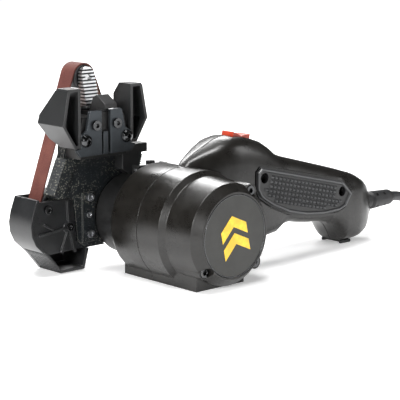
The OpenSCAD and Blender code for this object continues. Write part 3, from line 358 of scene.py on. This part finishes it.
plate_paint = textured_paint("plate_paint", (0.007, 0.009, 0.0105), (0.24, 0.235, 0.19), 0.34, 1.3, 0.2)
wing_paint = smooth_paint("wing_paint", (0.012, 0.0125, 0.013), 0.36)
guard_plastic = moulded("guard_plastic", (0.010, 0.0103, 0.011), 0.32, 0.5, 0.02)
print("paints:", plate_paint.name, wing_paint.name)

# %% [markdown]
# ## Metals
# Ground and plated steel is bright, and its streaks run one way, so the noise is stretched along the
# grinding direction. The blued guide plates are the same steel under a dark blue-grey oxide.

# %% Metals
def metal(name, colour, roughness, stretch=(900, 900, 60), streak=0.16, depth=0.01, metallic=1.0, edge=0.3):
    finish = Finish(name, metallic=metallic)
    streaks = finish.noise(1.0, 3, 0.6, finish.stretched(stretch))
    cloud = finish.noise(80, 4)
    wear = finish.edge_wear(edge)
    dull = tuple(c * 0.72 for c in colour)
    bright = tuple(min(1, c * 1.35 + 0.05) for c in colour)
    base = finish.mix(finish.ramp(cloud, 0.3, 0.75), dull, colour)
    finish.feed("Base Color", finish.mix(wear * 0.8, base, bright))
    finish.feed("Roughness", roughness + (streaks - 0.5) * streak + (cloud - 0.5) * 0.1)
    finish.feed("Normal", finish.bump(streaks, depth, finish.round_edges(edge)) if edge > 0.1 else
                finish.bump(streaks, depth))
    return finish.material


blued_steel = metal("blued_steel", (0.062, 0.07, 0.078), 0.34, (60, 900, 900), 0.14, 0.012, 0.7)
zinc_steel = metal("zinc_steel", (0.52, 0.53, 0.55), 0.3, (400, 400, 400), 0.1, 0.012)
dark_screw = metal("dark_screw", (0.10, 0.102, 0.105), 0.22, (400, 400, 400), 0.12, 0.012)
black_chrome = metal("black_chrome", (0.085, 0.087, 0.09), 0.12, (300, 300, 300), 0.06, 0.004)
print("dark metals:", blued_steel.name, zinc_steel.name, dark_screw.name)

# %% [markdown]
# ## Ribbed cast alloy
# The thumb pad of the tension arm has cross grooves. The grooves are real geometry, and painted shade
# darkens them too. The height above the floor, divided by the pitch of the ribs, gives the place within
# one pitch, and its lower part is the groove. The mask knows only the height, so it also paints the shade
# on the back of the arm at the same heights.

# %% The pad and the bright metals
PAD_FOOT, PAD_HEAD, RIB_PITCH = 105.2, 128.3, 2.1


def ribbed_metal(name, colour, groove_shade_colour):
    """Cast alloy with painted shade in its cross grooves, a dark band at every pitch up the pad."""
    finish = Finish(name, metallic=1.0)
    height = finish.node("ShaderNodeSeparateXYZ", {}, [finish.place()], "Z")
    steps = (height - PAD_FOOT * MM) * (1 / (RIB_PITCH * MM))
    within = finish.node("ShaderNodeMath", {"operation": "FRACT"}, [steps])
    # Painted shade: the lower part of each pitch is coloured near-black, where the grooves fall in shade.
    groove = 1 - finish.ramp(within, 0.42, 0.52)
    on_pad = finish.ramp(height, (PAD_FOOT - 0.4) * MM, (PAD_FOOT - 0.2) * MM)
    below_top = 1 - finish.ramp(height, (PAD_HEAD - 0.4) * MM, (PAD_HEAD - 0.2) * MM)
    cloud = finish.noise(160, 4)
    bare = finish.mix(finish.ramp(cloud, 0.3, 0.75), tuple(c * 0.8 for c in colour), colour)
    finish.feed("Base Color", finish.mix(groove * on_pad * below_top * 0.93, bare, groove_shade_colour))
    finish.feed("Roughness", 0.34 + (cloud - 0.5) * 0.1)
    finish.feed("Normal", finish.bump(cloud, 0.004))
    return finish.material


ribbed_alloy = ribbed_metal("ribbed_alloy", (0.8, 0.81, 0.82), (0.02, 0.02, 0.022))
bright_steel = metal("bright_steel", (0.68, 0.69, 0.7), 0.22)
brass = metal("brass", (0.78, 0.57, 0.25), 0.3)
copper = metal("copper", (0.72, 0.34, 0.17), 0.35)
laminated_iron = metal("laminated_iron", (0.2, 0.2, 0.21), 0.5, (20, 3000, 20), 0.2, 0.03)
pressed_carbon = metal("pressed_carbon", (0.04, 0.04, 0.045), 0.6, (400, 400, 400), 0.1, 0.02, 0.2)
print("bright metals:", bright_steel.name, ribbed_alloy.name)

# %% [markdown]
# ## Abrasive belt
# The outside is maroon grit on cloth and the inside is the bare orange-brown backing. The finish tells
# them apart by whether the surface faces away from the middle of the loop, so one closed band serves.

# %% Belt finish
def belt_finish():
    finish = Finish("abrasive_belt", specular_ior_level=0.25)
    place = finish.place()
    facing = finish.node("ShaderNodeTexCoord", {}, {}, "Normal")
    middle = (-0.028, 0.072, 0.066)
    away = finish.node("ShaderNodeVectorMath", {"operation": "SUBTRACT"}, [place, middle])
    side = finish.node("ShaderNodeVectorMath", {"operation": "DOT_PRODUCT"}, [away, facing], "Value")
    outside = finish.ramp(side, -0.001, 0.001)
    grit = finish.cells(2600)
    weave = finish.noise(1.0, 2, 0.5, finish.stretched((700, 2600, 700)))
    cloud = finish.noise(70, 4)
    grit_colour = finish.mix(finish.ramp(grit, 0.1, 0.5), (0.145, 0.047, 0.036), (0.08, 0.025, 0.021))
    cloth = finish.mix(finish.ramp(weave, 0.35, 0.65), (0.30, 0.115, 0.05), (0.21, 0.075, 0.035))
    base = finish.mix(outside, cloth, grit_colour)
    finish.feed("Base Color", finish.mix(finish.ramp(cloud, 0.3, 0.8) * 0.2, base, (0.28, 0.11, 0.075)))
    finish.feed("Roughness", 0.62 + outside * 0.12 + (cloud - 0.5) * 0.15)
    relief = finish.node("ShaderNodeMix", {"data_type": "FLOAT"}, {0: outside, 2: weave, 3: grit}, 0)
    finish.feed("Normal", finish.bump(relief, 0.05))
    return finish.material


abrasive = belt_finish()

# %% [markdown]
# ## Badge
# The front of the cap carries a thin aluminium disc in satin grey. Fine rings turned into it catch the
# light. Its sign here is a plain pair of chevrons, painted yellow.

# %% Badge finishes
def turned_disc(name, colour):
    finish = Finish(name, metallic=0.75, specular_ior_level=0.5)
    centre = finish.node("ShaderNodeVectorMath", {"operation": "SUBTRACT"},
                         [finish.place(), (0, CAP_Y * MM, AXIS_H * MM)])
    radius = finish.node("ShaderNodeVectorMath", {"operation": "LENGTH"}, [centre], "Value")
    rings = finish.node("ShaderNodeMath", {"operation": "SINE"}, [radius * 9000])
    cloud = finish.noise(70, 4)
    bright = tuple(c * 1.2 for c in colour)
    finish.feed("Base Color", finish.mix(finish.ramp(cloud, 0.3, 0.7), colour, bright))
    finish.feed("Roughness", 0.4 + (cloud - 0.5) * 0.15 + rings * 0.03)
    finish.feed("Normal", finish.bump(rings, 0.004, finish.round_edges(0.3)))
    return finish.material


badge_grey = turned_disc("badge_grey", (0.052, 0.052, 0.05))
sign_yellow = moulded("sign_yellow", (0.80, 0.50, 0.03), 0.38, 0.5, 0.008, 0.1, 1.05)
print("badge finishes:", badge_grey.name, sign_yellow.name)

# %% [markdown]
# ## Dress the carried-over parts
# Each part keeps its exact mesh. A small geometry-nodes modifier welds its split corners and shades
# shallow angles smoothly, so the handle's many small faces read as one moulded surface.

# %% Smooth shading by angle
def angle_shading():
    group = bpy.data.node_groups.new("shade_by_angle", "GeometryNodeTree")
    group.interface.new_socket("Geometry", in_out="INPUT", socket_type="NodeSocketGeometry")
    group.interface.new_socket("Geometry", in_out="OUTPUT", socket_type="NodeSocketGeometry")
    group.interface.new_socket("Angle", in_out="INPUT", socket_type="NodeSocketFloat")
    new, link = group.nodes.new, group.links.new
    start, end = new("NodeGroupInput"), new("NodeGroupOutput")
    weld = new("GeometryNodeMergeByDistance")
    weld.inputs["Distance"].default_value = 2e-6
    forget = new("GeometryNodeRemoveAttribute")
    forget.inputs["Name"].default_value = "custom_normal"
    angle = new("GeometryNodeInputMeshEdgeAngle")
    shallow = new("FunctionNodeCompare")
    shallow.operation = "LESS_THAN"
    edges, faces = new("GeometryNodeSetShadeSmooth"), new("GeometryNodeSetShadeSmooth")
    edges.domain, faces.domain = "EDGE", "FACE"
    link(start.outputs["Geometry"], weld.inputs["Geometry"])
    link(weld.outputs["Geometry"], forget.inputs["Geometry"])
    link(forget.outputs["Geometry"], edges.inputs["Geometry"])
    link(angle.outputs["Unsigned Angle"], shallow.inputs["A"])
    link(start.outputs["Angle"], shallow.inputs["B"])
    link(shallow.outputs["Result"], edges.inputs["Shade Smooth"])
    link(edges.outputs["Geometry"], faces.inputs["Geometry"])
    link(faces.outputs["Geometry"], end.inputs["Geometry"])
    return group


shading = angle_shading()


def soften(piece, degrees):
    modifier = piece.modifiers.new("shade by angle", "NODES")
    modifier.node_group = shading
    socket = next(i for i in shading.interface.items_tree if i.name == "Angle")
    modifier[socket.identifier] = math.radians(degrees)


# %% Give every part its finish
DRESS = {
    housing_black: ["front_shell", "rear_shell"],
    neck_black: ["neck_collar", "guide_block", "blade_stop", "switch_body"],
    grip_grey: ["front_grip", "rear_grip"],
    soft_black: ["heel_pad", "strain_relief", "cord_tie", "plug_body"],
    badge_grey: ["badge"],
    plate_paint: ["cassette_cover", "cassette_frame"],
    wing_paint: ["left_wing", "right_wing", "toothed_arc"],
    guard_plastic: ["belt_guard", "release_lever"],
    blued_steel: ["left_guide_plate", "right_guide_plate", "angle_pointer"],
    dark_screw: ["housing_screws", "handle_screws", "left_guide_screw", "right_guide_screw", "guard_screws"],
    black_chrome: ["guide_pivots"],
    zinc_steel: ["cover_screws", "block_screws"],
    bright_steel: ["front_bearing", "rear_bearing", "motor_shaft", "lever_pin", "idler_axle", "top_axle",
                   "tension_spring", "plug_blades"],
    ribbed_alloy: ["tension_arm"],
    rocker_red: ["switch_rocker"],
    abrasive: ["sanding_belt"],
    roller_rubber: ["drive_pulley", "idler_roller", "top_roller"],
    laminated_iron: ["field_stator"],
    copper: ["armature", "commutator"],
    brass: ["brush_holders"],
    pressed_carbon: ["carbon_brushes"],
    fan_nylon: ["cooling_fan"],
}


def dress(piece, material):
    piece.data.materials.clear()
    piece.data.materials.append(material)


for material, names in DRESS.items():
    for name in names:
        dress(nodes[name], material)
        soften(nodes[name], 24)
dress(cord, cord_vinyl)
print("parts dressed:", sum(len(names) for names in DRESS.values()))

# %% [markdown]
# ## Pieces that only the eye needs
# The grip's moulded pyramids, the badge's rim and its sign are too fine for the engineering model, so
# they are small meshes that ride on the housing.

# %% A mesh helper
def make_mesh(name, points, faces, material, slot, smooth=False):
    mesh = bpy.data.meshes.new(name)
    mesh.from_pydata([[v * MM for v in p] for p in points], [], faces)
    mesh.validate()
    if smooth:
        mesh.shade_smooth()
    piece = bpy.data.objects.new(name, mesh)
    bpy.context.scene.collection.objects.link(piece)
    mesh.materials.append(material)
    return piece


def prism(outline, y0, y1):
    """A flat outline in the X-Z plane, counter-clockwise seen from the front, made solid along Y."""
    n = len(outline)
    points = [(x, y0, z) for x, z in outline] + [(x, y1, z) for x, z in outline]
    faces = [list(range(n)), list(range(2 * n - 1, n - 1, -1))]
    faces += [[i, i + n, (i + 1) % n + n, (i + 1) % n] for i in range(n)]
    return points, faces


# %% [markdown]
# ### Grip pyramids
# The inlay has rows of small pyramids inside a raised border. The rows follow the slope of the handle.
# A point-in-outline test keeps each pyramid clear of the border and of the two screw wells.

# %% Grip pyramids and border
GRIP = [(52, 66), (130.9, 47.2), (141.2, 37.2), (134.4, 27.4), (127.4, 25), (111.4, 24.6), (94, 26.4),
        (78, 30.2), (62, 36.8), (51, 43.6), (47, 50), (47.6, 62.2)]
GRIP_SLOPE = math.radians(-13.4)
PITCH_ALONG, PITCH_ACROSS = 3.6, 2.9
PYRAMID_H = GRIP_RISE


def edge_distance(x, z, outline):
    """Distance to the nearest side, positive inside a clockwise outline."""
    nearest = 1e9
    for (x0, z0), (x1, z1) in zip(outline, outline[1:] + outline[:1]):
        run = math.hypot(x1 - x0, z1 - z0)
        nearest = min(nearest, ((x - x0) * (z1 - z0) - (z - z0) * (x1 - x0)) / run)
    return nearest


def pyramids(side):
    face = SEAM_Y + side * GRIP_FACE
    points, faces = [], []
    c, s = math.cos(GRIP_SLOPE), math.sin(GRIP_SLOPE)
    for i in range(-30, 31):
        for k in range(-12, 13):
            u = i * PITCH_ALONG
            v = k * PITCH_ACROSS
            x, z = 92 + u * c - v * s, 41 + u * s + v * c
            clear = all(math.hypot(x - a, z - b) > 6.6 for a, b in GRIP_SCREWS)
            if edge_distance(x, z, GRIP) < 5.6 or not clear:
                continue
            base = len(points)
            for du, dv in ((-1, -1), (1, -1), (1, 1), (-1, 1)):
                a, b = du * PITCH_ALONG * 0.46, dv * PITCH_ACROSS * 0.46
                points.append((x + a * c - b * s, face - side * 0.05, z + a * s + b * c))
            for du, dv in ((-1, -1), (1, -1), (1, 1), (-1, 1)):
                a, b = du * PITCH_ALONG * 0.12, dv * PITCH_ACROSS * 0.06
                points.append((x + a * c - b * s, face + side * PYRAMID_H, z + a * s + b * c))
            ring = [[0, 1, 5, 4], [1, 2, 6, 5], [2, 3, 7, 6], [3, 0, 4, 7], [4, 5, 6, 7], [3, 2, 1, 0]]
            for f in ring:
                f = [base + q for q in f]
                faces.append(f if side < 0 else f[::-1])
    return points, faces


def inset(outline, d):
    """Each corner moved inwards by d along the mean of its two side normals."""
    moved = []
    n = len(outline)
    for i, (x, z) in enumerate(outline):
        total = Vector((0, 0))
        for (x0, z0), (x1, z1) in ((outline[i - 1], outline[i]), (outline[i], outline[(i + 1) % n])):
            side = Vector((z1 - z0, -(x1 - x0))).normalized()
            total += side
        total = total.normalized() * d / max(0.5, total.length / 2)
        moved.append((x + total.x, z + total.y))
    return moved


def border(side):
    face = SEAM_Y + side * GRIP_FACE
    rings = [(1.9, 0.02), (2.3, -1.1), (3.1, -1.1), (3.8, 0.02)]
    n = len(GRIP)
    points = []
    for d, rise in rings:
        points += [(x, face - side * rise, z) for x, z in inset(GRIP, d)]
    faces = []
    for r in range(len(rings)):
        q = (r + 1) % len(rings)
        for i in range(n):
            j = (i + 1) % n
            f = [r * n + i, r * n + j, q * n + j, q * n + i]
            faces.append(f if side < 0 else f[::-1])
    return points, faces


for word, side in (("front", -1), ("rear", 1)):
    for what, shape in (("pyramids", pyramids(side)), ("border", border(side))):
        piece = make_mesh(f"{word}_grip_{what}", *shape, grip_grey, "grip_rubber")
        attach(piece, "housing")
        print(piece.name, "faces:", len(piece.data.polygons))

# %% [markdown]
# ### Badge rim and sign
# A turned rim is a small profile swept round the motor axis. The chevrons are flat prisms a fifth of a
# millimetre proud, like thick screen-printed paint.

# %% Badge rim and chevrons
def lathe_y(profile, steps=96):
    """Sweeps (radius, y) points round the motor axis into a closed ring."""
    points, faces = [], []
    m = len(profile)
    for i in range(steps):
        a = 2 * math.pi * i / steps
        points += [(r * math.cos(a), y, AXIS_H + r * math.sin(a)) for r, y in profile]
    for i in range(steps):
        for k in range(m):
            j, q = (i + 1) % steps, (k + 1) % m
            faces.append([i * m + k, j * m + k, j * m + q, i * m + q])
    return points, faces


rim_at = BADGE_R - 0.5
rim = make_mesh("badge_rim", *lathe_y([(rim_at - 0.3, CAP_Y + 0.3), (rim_at - 0.2, CAP_Y - 0.05),
                                       (rim_at + 0.2, CAP_Y - 0.05), (rim_at + 0.3, CAP_Y + 0.3)]),
                dark_screw, "bright_steel")
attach(rim, "housing")

SIGN_TILT = math.radians(12)


def chevron(offset):
    half, rise, thick = 10.5, 7.5, 7.0
    shape = [(-half, offset), (0, offset + rise), (half, offset), (half, offset + thick),
             (0, offset + rise + thick), (-half, offset + thick)]
    c, s = math.cos(SIGN_TILT), math.sin(SIGN_TILT)
    return [(x * c - z * s, AXIS_H + x * s + z * c) for x, z in shape]


for word, offset in (("lower", -12.5), ("upper", -1.5)):
    piece = make_mesh(f"sign_{word}_chevron", *prism(chevron(offset), CAP_Y, CAP_Y + 0.3), sign_yellow,
                      "badge_grey")
    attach(piece, "housing")
print("badge rim and sign made")

# %% [markdown]
# ## Floor and light
# A wide pale floor under soft boxes gives the even catalogue light: one overhead for the gloss on the
# tops, one from the left for the round barrel, a wide one behind to draw the outline, and a weak one
# on the right to open the shadows. The floor glows a little, and more further out, so that it stays
# white where the soft boxes no longer reach. The surroundings are dim, which keeps black plastic black.

# %% Floor and light
FLOOR_HALF = 30.0
WORLD_STRENGTH = 0.07
WHITE = (1, 1, 1, 1)


def make_floor():
    mesh = bpy.data.meshes.new("studio_floor")
    corners = [(-FLOOR_HALF, -FLOOR_HALF, 0), (FLOOR_HALF, -FLOOR_HALF, 0),
               (FLOOR_HALF, FLOOR_HALF, 0), (-FLOOR_HALF, FLOOR_HALF, 0)]
    mesh.from_pydata(corners, [], [(0, 1, 2, 3)])
    floor = bpy.data.objects.new("studio_floor", mesh)
    bpy.context.scene.collection.objects.link(floor)
    paper = Finish("paper_floor", roughness=0.45, specular_ior_level=0.35)
    tone = paper.noise(3, 2)
    paper.feed("Base Color", paper.mix(tone, (0.93, 0.93, 0.93), (0.95, 0.95, 0.95)))
    from_tool = paper.node("ShaderNodeVectorMath", {"operation": "LENGTH"}, [paper.place()], "Value")
    glow = paper.ramp(from_tool, 0.3, 1.3)
    paper.feed("Emission Color", paper.mix(glow, (0.34, 0.34, 0.34), (0.95, 0.95, 0.95)))
    paper.shader.inputs["Emission Strength"].default_value = 1
    mesh.materials.append(paper.material)
    return floor


def softbox(name, place, target, size, power, colour=(1, 1, 1)):
    data = bpy.data.lights.new(name, "AREA")
    data.shape = "RECTANGLE"
    data.size, data.size_y = size
    data.energy = power
    data.color = colour
    light = bpy.data.objects.new(name, data)
    light.location = place
    aim = Vector(target) - Vector(place)
    light.rotation_euler = aim.to_track_quat("-Z", "Y").to_euler()
    bpy.context.scene.collection.objects.link(light)
    return light


make_floor()
world = bpy.data.worlds.new("studio")
world.use_nodes = True
world.node_tree.nodes["Background"].inputs[0].default_value = WHITE
world.node_tree.nodes["Background"].inputs[1].default_value = WORLD_STRENGTH
bpy.context.scene.world = world
softbox("overhead", (-0.15, 0.1, 1.0), (0.03, 0, 0), (0.3, 0.6), 13)
softbox("left_front", (-1.0, -0.35, 0.5), (0, 0, 0.05), (0.3, 0.5), 13)
softbox("behind", (0.45, 0.9, 0.75), (0.05, 0, 0.05), (0.9, 0.3), 13)
softbox("right_side", (0.9, -0.75, 0.6), (0.08, 0, 0.05), (0.2, 0.6), 3)
bpy.context.scene.view_settings.view_transform = "Standard"

# %% [markdown]
# ## Finish
# The view layer is brought up to date at the end. The visual model has to stay in the
# engineering model's box.

# %% Finish
bpy.context.view_layer.update()
